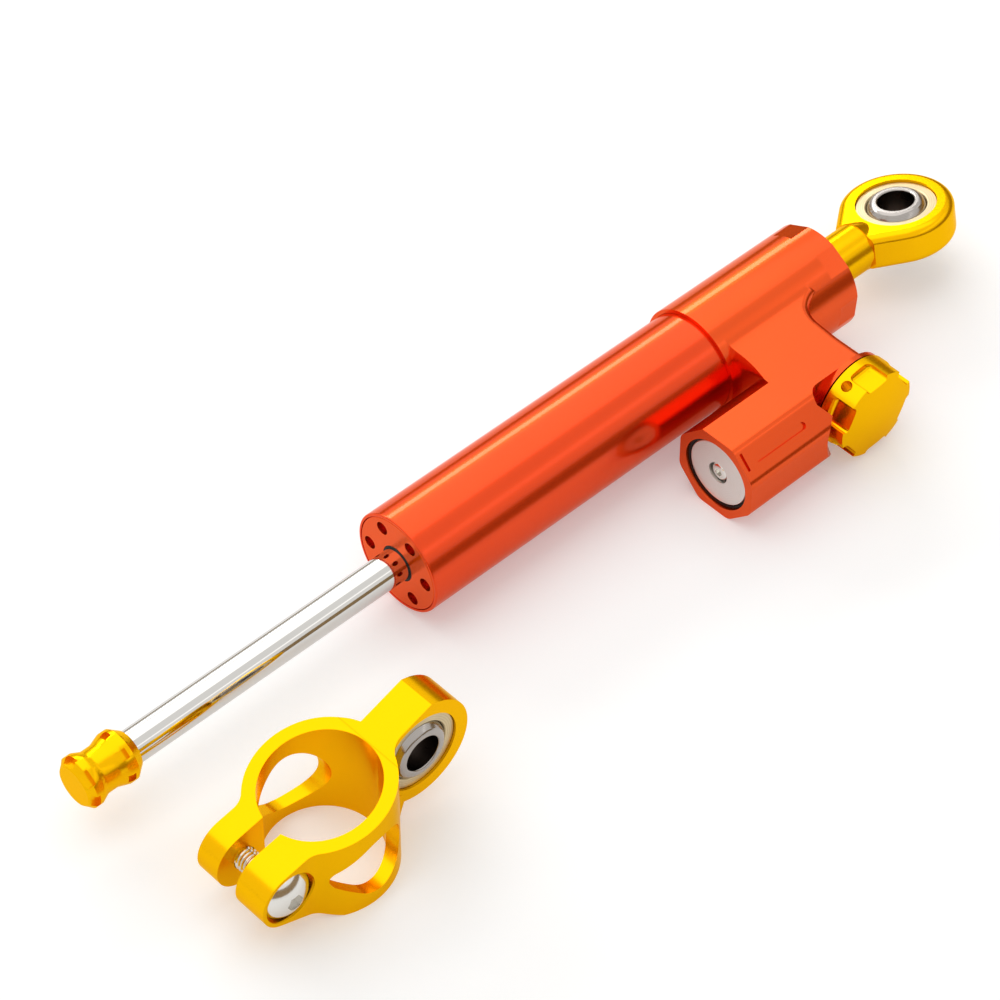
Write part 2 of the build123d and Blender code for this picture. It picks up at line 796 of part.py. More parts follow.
with BuildPart() as spool:
    with BuildSketch(Plane.XZ):
        with BuildLine():
            Polyline(
                (spool_front_x, 0),
                (spool_front_x, spool_radius - spool_nose),
                (band_one_x, spool_radius),
                (cone_one_x, spool_radius),
                (waist_x, waist_radius),
                (cone_two_x, waist_radius),
                (band_two_x, spool_radius),
                (tail_x, spool_radius),
                (spool_rear_x, spool_radius - spool_tail_drop),
                (spool_rear_x, 0),
                close=True,
            )
        make_face()
    revolve(axis=Axis.X)
    with BuildSketch(*notch_planes(cone_one_x - spool_notch_rim - spool_notch_length / 2)):
        Rectangle(spool_notch_length, spool_notch_width)
    extrude(amount=-spool_notch_depth, mode=Mode.SUBTRACT)
    with BuildSketch(*notch_planes(tail_x - spool_notch_rim - spool_rear_notch_length / 2)):
        Rectangle(spool_rear_notch_length, spool_rear_notch_width)
    extrude(amount=-spool_notch_depth, mode=Mode.SUBTRACT)
    with BuildSketch(across(rod_front_x)):
        Circle(rod_radius + seat_gap)
    extrude(amount=spool_rear_x - rod_front_x, mode=Mode.SUBTRACT)
spool.part.label = "spool"
export_step(spool.part, "parts/spool.step")

# Rear eye: the rolled plate that holds the bearing, its cone and its round shank
roll_sine = sin(radians(eye_roll))
roll_cosine = cos(radians(eye_roll))
eye_plane = Plane(origin=(0, 0, 0), x_dir=(1, 0, 0), z_dir=(0, roll_sine, roll_cosine))
eye_section_plane = Plane(origin=(0, 0, 0), x_dir=(1, 0, 0), z_dir=(0, -roll_cosine, roll_sine))
eye_axis = Axis((0, 0, 0), (0, roll_sine, roll_cosine))
shank_radius = shank_diameter / 2
shank_front_x = head_rear_x + shank_gap
with BuildPart() as rear_eye:
    with BuildSketch(eye_plane.offset(-eye_thickness / 2)):
        with BuildLine():
            CenterArc((0, 0), eye_diameter / 2, 0, 360)
            Line((neck_x, -shank_radius), (neck_x, shank_radius))
        make_hull()
    extrude(amount=eye_thickness)
    rims = rear_eye.faces().filter_by(Axis((0, 0, 0), eye_plane.z_dir)).edges()
    fillet(rims.filter_by(lambda edge: edge.center().X > neck_x + fine_chamfer), eye_edge_round)
    with BuildSketch(across(neck_x)):
        Circle(shank_radius)
    with BuildSketch(across(neck_end_x)):
        Circle(eye_thickness / 2)
    loft()
    with BuildSketch(across(shank_front_x)):
        Circle(shank_radius - shank_step)
    extrude(amount=neck_x - shank_front_x)
    with BuildSketch(eye_plane.offset(-eye_thickness / 2)):
        Circle(seat_radius)
    extrude(amount=eye_thickness, mode=Mode.SUBTRACT)
    with BuildSketch(across(shank_front_x)):
        Circle(rod_radius + seat_gap)
    extrude(amount=rod_end_x - shank_front_x, mode=Mode.SUBTRACT)
    shank_rim = rear_eye.edges().group_by(Axis.X)[0].sort_by(SortBy.RADIUS)[-1:]
    chamfer(shank_rim, fine_chamfer)
rear_eye.part.label = "rear_eye"
export_step(rear_eye.part, "parts/rear_eye.step")

# Outer race of the rear bearing
with BuildPart() as rear_race:
    with BuildSketch(eye_section_plane):
        add(race_half)
    revolve(axis=eye_axis)
    mouths = rear_race.edges().filter_by(GeomType.CIRCLE).sort_by(SortBy.RADIUS)[:2]
    chamfer(mouths, race_mouth_chamfer)
rear_race.part.label = "rear_race"
export_step(rear_race.part, "parts/rear_race.step")

# Ball of the rear bearing
with BuildPart() as rear_ball:
    with BuildSketch(eye_section_plane):
        add(ball_half)
    revolve(axis=eye_axis)
    bore_rims = rear_ball.edges().filter_by(GeomType.CIRCLE).sort_by(SortBy.RADIUS)[:2]
    chamfer(bore_rims, fine_chamfer)
rear_ball.part.label = "rear_ball"
export_step(rear_ball.part, "parts/rear_ball.step")

# Adjuster knob: a domed disc with six finger pockets, a socket for the stem and a hole for
# the grub screw
knob_section = Plane(origin=(knob_x, knob_base_y, knob_z), x_dir=(1, 0, 0), z_dir=(0, 0, -1))
dome_radius = (knob_radius * knob_radius + knob_dome * knob_dome) / (2 * knob_dome)
half_reach = knob_radius / 2
half_drop = dome_radius - sqrt(dome_radius * dome_radius - half_reach * half_reach)


def knob_side(turn, height):
    """Plane that touches the knob's side at a turn from +X and a height above its base."""
    direction = (cos(radians(turn)), 0, sin(radians(turn)))
    origin = (
        knob_x + knob_radius * direction[0],
        knob_base_y - height,
        knob_z + knob_radius * direction[2],
    )
    return Plane(origin=origin, x_dir=(0, -1, 0), z_dir=direction)


def in_pocket(edge):
    """Whether an edge lies at the bottom of a finger pocket."""
    middle = edge.center()
    reach = sqrt((middle.X - knob_x) ** 2 + (middle.Z - knob_z) ** 2)
    return reach < knob_radius - fine_chamfer


pocket_step = 360 / knob_pocket_count
pocket_turns = [knob_pocket_turn + pocket_step * place for place in range(knob_pocket_count)]
pocket_length = 2 * knob_height
pocket_height = knob_pocket_start + pocket_length / 2
with BuildPart() as knob:
    with BuildSketch(knob_section):
        with BuildLine():
            Line((0, 0), (knob_radius, 0))
            Line((knob_radius, 0), (knob_radius, knob_height))
            ThreePointArc(
                (knob_radius, knob_height),
                (half_reach, knob_height + knob_dome - half_drop),
                (0, knob_height + knob_dome),
            )
            Line((0, knob_height + knob_dome), (0, 0))
        make_face()
    revolve(axis=Axis((knob_x, knob_base_y, knob_z), (0, -1, 0)))
    with BuildSketch(*[knob_side(turn, pocket_height) for turn in pocket_turns]):
        RectangleRounded(pocket_length, knob_pocket_width, knob_pocket_corner)
    extrude(amount=-knob_pocket_depth, mode=Mode.SUBTRACT)
    fillet(knob.edges().filter_by(Axis.Y).filter_by(in_pocket), knob_pocket_round)
    with BuildSketch(outward(knob_base_y)):
        Circle(stem_diameter / 2 + seat_gap)
    extrude(amount=stem_in_knob, mode=Mode.SUBTRACT)
    with BuildSketch(knob_side(grub_turn, grub_height)):
        Circle(grub_diameter / 2 + seat_gap)
    extrude(amount=-knob_radius, mode=Mode.SUBTRACT)
knob.part.label = "knob"
export_step(knob.part, "parts/knob.step")

# Grub screw that fixes the knob on its stem
grub_inset = knob_radius - stem_diameter / 2 - seat_gap - grub_length
with BuildPart() as knob_grub_screw:
    with BuildSketch(knob_side(grub_turn, grub_height).offset(-grub_inset)):
        Circle(grub_diameter / 2)
    extrude(amount=-grub_length)
knob_grub_screw.part.label = "knob_grub_screw"
export_step(knob_grub_screw.part, "parts/knob_grub_screw.step")

# Valve stem: turned by the knob, with a threaded bore for the needle
stem_outer_y = knob_base_y - stem_in_knob + seat_gap
stem_inner_y = boss_y + stem_in_head
stem_bore_y = stem_inner_y - stem_bore_depth
with BuildPart() as valve_stem:
    with BuildSketch(outward(stem_inner_y)):
        Circle(stem_diameter / 2)
    extrude(amount=stem_inner_y - stem_outer_y)
    with BuildSketch(outward(stem_inner_y)):
        Circle(needle_diameter / 2 + running_gap)
    extrude(amount=stem_bore_depth, mode=Mode.SUBTRACT)
valve_stem.part.label = "valve_stem"
export_step(valve_stem.part, "parts/valve_stem.step")

# Valve bush: the bearing of the stem, flush with the boss
with BuildPart() as valve_bush:
    with BuildSketch(outward(chamber_y)):
        Circle(valve_bush_diameter / 2)
        Circle(stem_diameter / 2 + running_gap, mode=Mode.SUBTRACT)
    extrude(amount=valve_bush_length)
valve_bush.part.label = "valve_bush"
export_step(valve_bush.part, "parts/valve_bush.step")

# Needle: the tapered pin that closes the seat hole
needle_outer_y = stem_bore_y + needle_room
needle_tip_y = valve_seat_y + needle_reach
cone_y = needle_tip_y - needle_cone
with BuildPart() as needle:
    with BuildSketch(outward(cone_y)):
        Circle(needle_diameter / 2)
    extrude(amount=cone_y - needle_outer_y)
    with BuildSketch(outward(cone_y)):
        Circle(needle_diameter / 2)
    with BuildSketch(outward(needle_tip_y)):
        Circle(needle_tip_diameter / 2)
    loft()
needle.part.label = "needle"
export_step(needle.part, "parts/needle.step")

# Clamp: an upright split ring with a slanted top, two ears for the pinch bolt on one side
# and an eye with a spherical bearing on the other
clamp_outer = clamp_bore_diameter / 2 + clamp_wall
clamp_eye_radius = clamp_eye_diameter / 2
clamp_width = clamp_outer + overrun
clamp_height = clamp_eye_up + clamp_eye_radius + overrun
shoulder_run = cos(radians(clamp_shoulder_slope))
shoulder_climb = sin(radians(clamp_shoulder_slope))
crease_back = clamp_crease_out - clamp_eye_out
crease_rise = clamp_crease_up - clamp_eye_up
shoulder_along = crease_back * shoulder_run + crease_rise * shoulder_climb
crease_square = crease_back * crease_back + crease_rise * crease_rise
shoulder_reach = sqrt(
    shoulder_along * shoulder_along + clamp_eye_radius * clamp_eye_radius - crease_square
)
shoulder_length = shoulder_reach - shoulder_along
shoulder_out = clamp_crease_out + shoulder_length * shoulder_run
shoulder_up = clamp_crease_up + shoulder_length * shoulder_climb
clamp_plan_plane = Plane(origin=(clamp_x, clamp_y, table_z))


def clamp_side(forward):
    """Plane square to the clamp's eye bore, a distance in front of the ring's middle."""
    return Plane(
        origin=(clamp_x, clamp_y - forward, table_z), x_dir=(1, 0, 0), z_dir=(0, -1, 0)
    )


with BuildPart() as clamp:
    with BuildSketch(clamp_plan_plane) as clamp_plan:
        Circle(clamp_outer)
        eye_end = clamp_eye_out + clamp_eye_radius
        with Locations((eye_end / 2, 0)):
            Rectangle(eye_end, clamp_eye_thickness)
        eye_corners = clamp_plan.vertices().filter_by(lambda corner: 0 < corner.X < clamp_outer)
        front_corner = eye_corners.sort_by(Axis.Y)[:1]
        back_corner = eye_corners.sort_by(Axis.Y)[-1:]
        fillet(front_corner, clamp_eye_blend)
        fillet(back_corner, clamp_back_blend)
        ear_end = clamp_ear_out + clamp_ear_radius
        ear_middle = (clamp_back_ear - clamp_front_ear) / 2
        with Locations((-ear_end / 2, ear_middle)):
            Rectangle(ear_end, clamp_front_ear + clamp_back_ear)
        ear_corners = clamp_plan.vertices().filter_by(lambda corner: -clamp_outer < corner.X < 0)
        fillet(ear_corners, clamp_ear_blend)
    extrude(amount=clamp_height)
    with BuildSketch(clamp_side(0)):
        with BuildLine():
            CenterArc((-clamp_ear_out, clamp_ear_up), clamp_ear_radius, 0, 360)
            Line((-clamp_foot, 0), (clamp_crease_out, clamp_crease_up))
        make_hull()
        with BuildLine():
            Polyline(
                (-clamp_foot, 0),
                (clamp_outer, 0),
                (clamp_eye_out, clamp_eye_up),
                (shoulder_out, shoulder_up),
                (clamp_crease_out, clamp_crease_up),
                close=True,
            )
        make_face()
        with Locations((clamp_eye_out, clamp_eye_up)):
            Circle(clamp_eye_radius)
        with BuildLine():
            Polyline(
                (clamp_crease_out, clamp_crease_up),
                (shoulder_out, shoulder_up),
                (shoulder_out, clamp_height),
                (clamp_crease_out, clamp_height),
                close=True,
            )
        make_face(mode=Mode.SUBTRACT)
    extrude(amount=clamp_width, both=True, mode=Mode.INTERSECT)
    with BuildSketch(clamp_plan_plane):
        Circle(clamp_bore_diameter / 2)
        with Locations((-clamp_outer, clamp_slit_shift)):
            Rectangle(2 * clamp_outer, clamp_slit)
    extrude(amount=clamp_height, mode=Mode.SUBTRACT)
    with BuildSketch(clamp_side(0)):
        with BuildLine():
            CenterArc((window_out, window_up), window_radius, 0, 360)
            CenterArc((-window_tip_out, window_tip_up), window_tip_radius, 0, 360)
        make_hull()
        with Locations((clamp_eye_out, clamp_eye_up)):
            Circle(seat_radius)
        with Locations((-clamp_ear_out, clamp_ear_up)):
            Circle(bolt_diameter / 2 + pin_gap)
    extrude(amount=clamp_width, both=True, mode=Mode.SUBTRACT)
    with BuildSketch(clamp_side(clamp_front_ear)):
        with Locations((-clamp_ear_out, clamp_ear_up)):
            Circle(bolt_recess_diameter / 2)
    extrude(amount=-bolt_recess_depth, mode=Mode.SUBTRACT)
    with BuildSketch(clamp_side(clamp_spot_front)):
        with Locations((clamp_eye_out, clamp_eye_up)):
            Circle(clamp_spot_diameter / 2)
    extrude(amount=clamp_width, mode=Mode.SUBTRACT)
clamp.part.label = "clamp"
export_step(clamp.part, "parts/clamp.step")

# Outer race of the clamp's bearing
clamp_eye_centre = (clamp_x + clamp_eye_out, clamp_y, table_z + clamp_eye_up)
clamp_section_plane = Plane(origin=clamp_eye_centre)
clamp_eye_axis = Axis(clamp_eye_centre, (0, 1, 0))
with BuildPart() as clamp_race:
    with BuildSketch(clamp_section_plane):
        add(race_half)
    revolve(axis=clamp_eye_axis)
    mouths = clamp_race.edges().filter_by(GeomType.CIRCLE).sort_by(SortBy.RADIUS)[:2]
    chamfer(mouths, race_mouth_chamfer)
clamp_race.part.label = "clamp_race"
export_step(clamp_race.part, "parts/clamp_race.step")

# Ball of the clamp's bearing
with BuildPart() as clamp_ball:
    with BuildSketch(clamp_section_plane):
        add(ball_half)
    revolve(axis=clamp_eye_axis)
    bore_rims = clamp_ball.edges().filter_by(GeomType.CIRCLE).sort_by(SortBy.RADIUS)[:2]
    chamfer(bore_rims, fine_chamfer)
clamp_ball.part.label = "clamp_ball"
export_step(clamp_ball.part, "parts/clamp_ball.step")

# Pinch bolt: a domed socket head sunk in the front ear and a shank across the slit
bolt_seat = clamp_front_ear - bolt_recess_depth + seat_gap
bolt_length = bolt_seat + clamp_back_ear - bolt_end_room
bolt_head_radius = bolt_head_diameter / 2
cap_height = bolt_head_height - bolt_head_rim
cap_ball = (bolt_head_radius * bolt_head_radius + cap_height * cap_height) / (2 * cap_height)
cap_half_reach = bolt_head_radius / 2
cap_half_drop = cap_ball - sqrt(cap_ball * cap_ball - cap_half_reach * cap_half_reach)
bolt_base = (clamp_x - clamp_ear_out, clamp_y - bolt_seat, table_z + clamp_ear_up)
bolt_section = Plane(origin=bolt_base, x_dir=(1, 0, 0), z_dir=(0, 0, -1))
with BuildPart() as pinch_bolt:
    with BuildSketch(bolt_section):
        with BuildLine():
            Line((0, 0), (bolt_head_radius, 0))
            Line((bolt_head_radius, 0), (bolt_head_radius, bolt_head_rim))
            ThreePointArc(
                (bolt_head_radius, bolt_head_rim),
                (cap_half_reach, bolt_head_height - cap_half_drop),
                (0, bolt_head_height),
            )
            Line((0, bolt_head_height), (0, 0))
        make_face()
    revolve(axis=Axis(bolt_base, (0, -1, 0)))
    with BuildSketch(clamp_side(bolt_seat + bolt_head_height)):
        with Locations((-clamp_ear_out, clamp_ear_up)):
            RegularPolygon(bolt_socket / 2, 6, major_radius=False)
    extrude(amount=-bolt_socket_depth, mode=Mode.SUBTRACT)
    with BuildSketch(clamp_side(bolt_seat)):
        with Locations((-clamp_ear_out, clamp_ear_up)):
            Circle(bolt_diameter / 2)
    extrude(amount=-bolt_length)
pinch_bolt.part.label = "pinch_bolt"
export_step(pinch_bolt.part, "parts/pinch_bolt.step")
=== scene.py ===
"""Looks of a motorcycle steering damper and its loose clamp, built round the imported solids."""

import json
import math

import bmesh
import bpy
from bpy.props import FloatProperty, FloatVectorProperty, PointerProperty
from mathutils import Matrix, Vector


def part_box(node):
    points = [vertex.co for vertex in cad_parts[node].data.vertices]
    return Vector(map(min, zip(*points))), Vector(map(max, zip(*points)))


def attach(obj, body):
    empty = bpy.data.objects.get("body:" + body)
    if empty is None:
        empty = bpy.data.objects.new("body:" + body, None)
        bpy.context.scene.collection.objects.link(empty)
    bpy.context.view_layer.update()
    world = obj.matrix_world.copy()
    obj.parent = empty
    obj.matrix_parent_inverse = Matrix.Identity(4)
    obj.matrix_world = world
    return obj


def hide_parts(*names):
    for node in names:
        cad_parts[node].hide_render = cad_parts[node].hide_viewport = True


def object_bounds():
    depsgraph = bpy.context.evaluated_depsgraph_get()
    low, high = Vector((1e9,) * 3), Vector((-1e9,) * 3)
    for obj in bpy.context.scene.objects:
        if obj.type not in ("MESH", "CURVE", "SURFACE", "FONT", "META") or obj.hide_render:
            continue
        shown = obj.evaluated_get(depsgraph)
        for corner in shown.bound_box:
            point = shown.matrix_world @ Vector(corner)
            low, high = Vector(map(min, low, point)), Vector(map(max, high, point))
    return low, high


bl_info = {
    "name": "Steering damper looks",
    "version": (1, 0, 0),
    "blender": (4, 5, 0),
    "location": "View3D > Sidebar > Damper",
    "description": "Dresses a steering damper and its clamp in anodised and polished finishes",
    "category": "Object",
}

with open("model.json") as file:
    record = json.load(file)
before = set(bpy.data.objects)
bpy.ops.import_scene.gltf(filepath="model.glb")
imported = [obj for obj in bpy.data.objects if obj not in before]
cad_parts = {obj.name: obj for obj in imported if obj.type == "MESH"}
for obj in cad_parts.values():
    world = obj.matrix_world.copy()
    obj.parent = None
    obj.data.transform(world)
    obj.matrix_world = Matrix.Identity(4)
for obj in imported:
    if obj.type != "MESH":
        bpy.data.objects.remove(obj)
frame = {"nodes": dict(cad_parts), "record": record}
solid_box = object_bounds()
table_height = solid_box[0].z
millimetre = 0.001

# The rod and the reservoir's plug lie along X, the clamp's bearing and bolt along Y
lengthwise = Vector((1.0, 0.0, 0.0))
across = Vector((0.0, 1.0, 0.0))
eye_lean = math.radians(12.8)
eye_axis = Vector((0.0, math.sin(eye_lean), math.cos(eye_lean)))

merge_distance = 2e-6
flat_angle = math.radians(0.4)


# Shader maths


class Strand:
    """One shader socket that can be used in a Python expression."""

    def __init__(self, tree, socket):
        self.tree = tree
        self.socket = socket

    def _math(self, operation, first, second=0.0):
        node = self.tree.nodes.new("ShaderNodeMath")
        node.operation = operation
        for place, value in enumerate((first, second)):
            if isinstance(value, Strand):
                self.tree.links.new(value.socket, node.inputs[place])
            else:
                node.inputs[place].default_value = value
        return Strand(self.tree, node.outputs[0])

    def __add__(self, other):
        return self._math("ADD", self, other)

    __radd__ = __add__

    def __mul__(self, other):
        return self._math("MULTIPLY", self, other)

    __rmul__ = __mul__

    def __sub__(self, other):
        return self._math("SUBTRACT", self, other)

    def __rsub__(self, other):
        return self._math("SUBTRACT", other, self)

    def __lt__(self, other):
        return self._math("LESS_THAN", self, other)

    def __gt__(self, other):
        return self._math("GREATER_THAN", self, other)

    def sine(self):
        return self._math("SINE", self)

    def absolute(self):
        return self._math("ABSOLUTE", self)


class NodeSheet:
    """A node tree and the few calls that fill it."""

    def __init__(self, tree):
        self.tree = tree

    def feed(self, inputs, sockets):
        """Sets or links inputs by name; _6 stands for the input of that number."""
        for name, value in sockets.items():
            key = int(name[1:]) if name[0] == "_" else name.replace("_", " ")
            if isinstance(value, Strand):
                self.tree.links.new(value.socket, inputs[key])
            else:
                inputs[key].default_value = value

    def node(self, kind, settings=None, output=0, **sockets):
        """Adds a node: its settings first, then the values or links of its sockets."""
        made = self.tree.nodes.new(kind)
        for name, value in (settings or {}).items():
            setattr(made, name, value)
        self.feed(made.inputs, sockets)
        return Strand(self.tree, made.outputs[output])

    def blend(self, amount, first, second):
        """Mix of two colours by an amount."""
        return self.node(
            "ShaderNodeMix",
            {"data_type": "RGBA"},
            output=2,
            Factor=amount,
            _6=first if isinstance(first, Strand) else (*first, 1.0),
            _7=second if isinstance(second, Strand) else (*second, 1.0),
        )

    def ray(self, kind):
        """One where a ray of that kind arrives, and nought elsewhere."""
        return self.node("ShaderNodeLightPath", output=kind)


class Finish(NodeSheet):
    """A procedural material on object coordinates."""

    def __init__(self, name):
        self.material = bpy.data.materials.new(name)
        self.material.use_nodes = True
        super().__init__(self.material.node_tree)
        self.shader = self.tree.nodes["Principled BSDF"]
        self.place = self.node("ShaderNodeTexCoord", output="Object")

    def noise(self, scale, detail=2.0, stretch=None):
        """Noise between 0 and 1 on object coordinates, stretched along an axis if asked."""
        place = self.place
        if stretch:
            place = self.node("ShaderNodeMapping", Vector=place, Scale=stretch)
        return self.node(
            "ShaderNodeTexNoise", output="Fac", Vector=place, Scale=scale, Detail=detail
        )

    def vector(self, operation, first, second=None, output=0):
        """Vector Math on one or two vectors."""
        values = {"_0": first} if second is None else {"_0": first, "_1": second}
        settings = {"operation": operation}
        return self.node("ShaderNodeVectorMath", settings, output=output, **values)

    def bump(self, height, strength, distance):
        """A normal that a height disturbs; the distance is in metres."""
        return self.node(
            "ShaderNodeBump", output="Normal", Height=height, Strength=strength, Distance=distance
        )

    def set(self, **values):
        """Sets or links the shader's own sockets and gives back the material."""
        self.feed(self.shader.inputs, values)
        return self.material


# Finishes


def toned(colour, shares):
    """A colour with a share of each of its parts."""
    return tuple(share * part for share, part in zip(shares, colour))


def anodised(name, colour, deep, grain, coat, edge):
    """Dyed anodised alloy: a tinted metal under a thin clear skin with faint machining lines."""
    finish = Finish(name)
    cloud = finish.noise(scale=45.0, detail=4.0)
    smudge = finish.noise(scale=14.0, detail=3.0)
    lines = finish.noise(scale=700.0, stretch=grain)
    return finish.set(
        Base_Color=finish.blend(0.8 * cloud + 0.2 * lines, deep, colour),
        Metallic=0.95,
        Specular_IOR_Level=0.1,
        Specular_Tint=(*edge, 1.0),
        Roughness=0.2 + 0.02 * lines + 0.05 * smudge,
        Coat_Weight=coat,
        Coat_Roughness=0.08,
        Normal=finish.bump(lines, strength=0.012, distance=0.00001),
    )


def bare_metal(name, colour, dull, roughness, spread, grain):
    """Bare steel or alloy with its own machining lines and a little unevenness."""
    finish = Finish(name)
    cloud = finish.noise(scale=120.0, detail=3.0)
    lines = finish.noise(scale=1500.0, stretch=grain)
    return finish.set(
        Base_Color=finish.blend(cloud, colour, dull),
        Metallic=1.0,
        Roughness=roughness + spread * lines,
        Normal=finish.bump(lines, strength=0.03, distance=0.00001),
    )


def turned_metal(name, colour, dull, roughness, centre, axis, bore=0.0, pitch=0.00022):
    """Metal turned about an axis: fine rings round it, and painted shade darkening its bore where
    it has one.
    """
    radians_per_ring = 6.283
    bore_wall = 0.00012
    bore_half_length = 0.0056
    # Near-black painted shade for the inside of a bore
    painted_bore_shade = (0.05, 0.037, 0.03)
    finish = Finish(name)
    away = finish.vector("SUBTRACT", finish.place, centre)
    around = finish.vector("CROSS_PRODUCT", away, axis)
    reach = finish.vector("LENGTH", around, output=1)
    depth = finish.vector("DOT_PRODUCT", away, axis, output=1)
    wander = finish.noise(scale=260.0, detail=3.0)
    rings = (reach * (radians_per_ring / pitch) + 2.5 * wander).sine() * 0.5 + 0.5
    shade = finish.blend(0.55 * rings + 0.45 * wander, colour, dull)
    rough = roughness + 0.1 * rings + 0.08 * wander
    # Painted shade: the inside of the bore is coloured near black, as the hollow would lie in
    # shadow
    if bore > 0:
        bore_shade_mask = (reach < bore + bore_wall) * (depth.absolute() < bore_half_length)
        shade = finish.blend(bore_shade_mask, shade, painted_bore_shade)
        rough = rough + 0.12 * bore_shade_mask
    return finish.set(
        Base_Color=shade,
        Metallic=1.0,
        Roughness=rough,
        Normal=finish.bump(rings, strength=0.12, distance=0.000004),
    )


def dark_rubber(name, colour=(0.006, 0.0055, 0.005)):
    """Dark seal rubber with a faint bloom."""
    finish = Finish(name)
    cloud = finish.noise(scale=300.0, detail=3.0)
    bloom = tuple(2.2 * part for part in colour)
    return finish.set(
        Base_Color=finish.blend(cloud, colour, bloom),
        Roughness=0.5 + 0.15 * cloud,
        Specular_IOR_Level=0.25,
        Normal=finish.bump(cloud, strength=0.1, distance=0.00003),
    )


# Shapes


def make_whole(shape):
    """Merges a bmesh's doubles and joins the triangles of its flats."""
    bmesh.ops.remove_doubles(shape, verts=shape.verts, dist=merge_distance)
    bmesh.ops.dissolve_limit(shape, angle_limit=flat_angle, verts=shape.verts, edges=shape.edges)


def merged_copy(node):
    """A bmesh of a CAD node, its loose triangles merged and its flats made whole."""
    shape = bmesh.new()
    shape.from_mesh(frame["nodes"][node].data)
    make_whole(shape)
    return shape


def sharp_edges(shape, sharp=28.0):
    """The edges whose two faces meet at more than an angle in degrees."""
    return [
        edge
        for edge in shape.edges
        if len(edge.link_faces) == 2 and edge.calc_face_angle(0.0) > math.radians(sharp)
    ]


def break_edges(shape, edges, rim, segments=2):
    """Rounds some edges by a small rim."""
    bmesh.ops.bevel(
        shape,
        geom=edges,
        offset=rim,
        offset_type="OFFSET",
        affect="EDGES",
        segments=segments,
        profile=0.5,
        material=-1,
        clamp_overlap=True,
    )


def placed(shape, name):
    """Turns a bmesh into an object at the origin."""
    mesh = bpy.data.meshes.new(name)
    shape.to_mesh(mesh)
    shape.free()
    piece = bpy.data.objects.new(name, mesh)
    bpy.context.collection.objects.link(piece)
    return piece


def finished(shape, name, crease=40.0, kept=()):
    """Turns a bmesh into a smooth-shaded piece with its creases and the kept edges sharp."""
    for face in shape.faces:
        face.smooth = True
    for edge in shape.edges:
        edge.smooth = edge.calc_face_angle(0.0) < math.radians(crease)
    for edge in kept:
        edge.smooth = False
    piece = placed(shape, name)
    even = piece.modifiers.new("even", "WEIGHTED_NORMAL")
    even.keep_sharp = True
    return piece


def only(kind, parts):
    """The parts of a bmesh operator's result that are of one kind."""
    return [part for part in parts if isinstance(part, kind)]


def extruded(shape, edges):
    """Extrudes a loop of edges and gives back the new edges and corners."""
    made = bmesh.ops.extrude_edge_only(shape, edges=edges)["geom"]
    corners = only(bmesh.types.BMVert, made)
    new_edges = only(bmesh.types.BMEdge, made)
    rim = [edge for edge in new_edges if all(end in corners for end in edge.verts)]
    return rim, corners


def carved(shape, tool):
    """Cuts one bmesh out of another."""
    pieces = [placed(shape, "carved"), placed(tool, "tool")]
    cut = pieces[0].modifiers.new("cut", "BOOLEAN")
    cut.operation = "DIFFERENCE"
    cut.solver = "EXACT"
    cut.object = pieces[1]
    result = bmesh.new()
    result.from_object(pieces[0], bpy.context.evaluated_depsgraph_get())
    for piece in pieces:
        mesh = piece.data
        bpy.data.objects.remove(piece)
        bpy.data.meshes.remove(mesh)
    return result


def wrench_flat_edges(shape):
    """The shallow edges of the six flats round the sleeve's rear end."""
    flat_length = 6.8 * millimetre
    flat_reach = 14.6 * millimetre
    shallow = math.radians(9.0)
    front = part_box("head_block")[1].x - flat_length
    found = []
    for edge in shape.edges:
        ends = [end.co for end in edge.verts]
        outside = all(math.hypot(end.y, end.z) > flat_reach for end in ends)
        behind = all(end.x > front for end in ends)
        if outside and behind and edge.calc_face_angle(0.0) > shallow:
            found.append(edge)
    return found


def off_axis(point, centre, axis):
    """Distance of a point from an axis through a centre."""
    away = point - centre
    return (away - away.dot(axis) * axis).length


def paint_socket_shade(shape, centre, axis, radius, depth):
    """Gives the faces inside a hex socket the second finish, a dark steel painted on as the
    socket's shade; the depth is measured inwards.
    """
    for face in shape.faces:
        middle = face.calc_center_median()
        inward = (middle - centre).dot(axis)
        if off_axis(middle, centre, axis) < radius and inward > depth:
            face.material_index = 1


def thread_shape(middle, start, turns, crest, pitch, depth):
    """A closed thread along Y: one tooth's outline, spun about the bolt's middle."""
    root = crest - depth
    steps = 28
    # Radius and share of the pitch at each corner of the tooth
    tooth = ((root, 0.0), (crest, 0.4), (crest, 0.52), (root, 0.92), (root, 1.0))
    thread = bmesh.new()
    last = None
    for reach, share in tooth:
        corner = thread.verts.new((middle.x, start + share * pitch, middle.z + reach))
        if last:
            thread.edges.new((last, corner))
        last = corner
    bmesh.ops.spin(
        thread,
        geom=thread.verts[:] + thread.edges[:],
        cent=(middle.x, 0.0, middle.z),
        axis=across,
        dvec=(0.0, pitch / steps, 0.0),
        angle=math.tau * turns,
        steps=steps * turns,
        use_merge=False,
    )
    bmesh.ops.remove_doubles(thread, verts=thread.verts, dist=merge_distance)
    open_rims = [edge for edge in thread.edges if edge.is_boundary]
    bmesh.ops.holes_fill(thread, edges=open_rims, sides=0)
    bmesh.ops.recalc_face_normals(thread, faces=thread.faces)
    return thread


# Bodies, slots and finishes of the nodes


materials = {}

# Nodes whose finish has lines of its own; every other node wears its slot's finish
own_finishes = {
    "barrel_tube": "orange tube",
    "rear_ball": "rear ball",
    "clamp_ball": "clamp ball",
    "rear_race": "rear race",
    "clamp_race": "clamp race",
}


def body_of(node):
    """Name of the body that holds a CAD node."""
    for body, nodes in frame["record"]["behaviour"]["bodies"].items():
        if node in nodes:
            return body
    raise RuntimeError("no body holds " + node)


def finish_of(node):
    """Name of the slot that a CAD node is in."""
    for part in frame["record"]["subparts"]:
        if part["node"] == node:
            return part["material_slot"]
    raise RuntimeError("no slot for " + node)


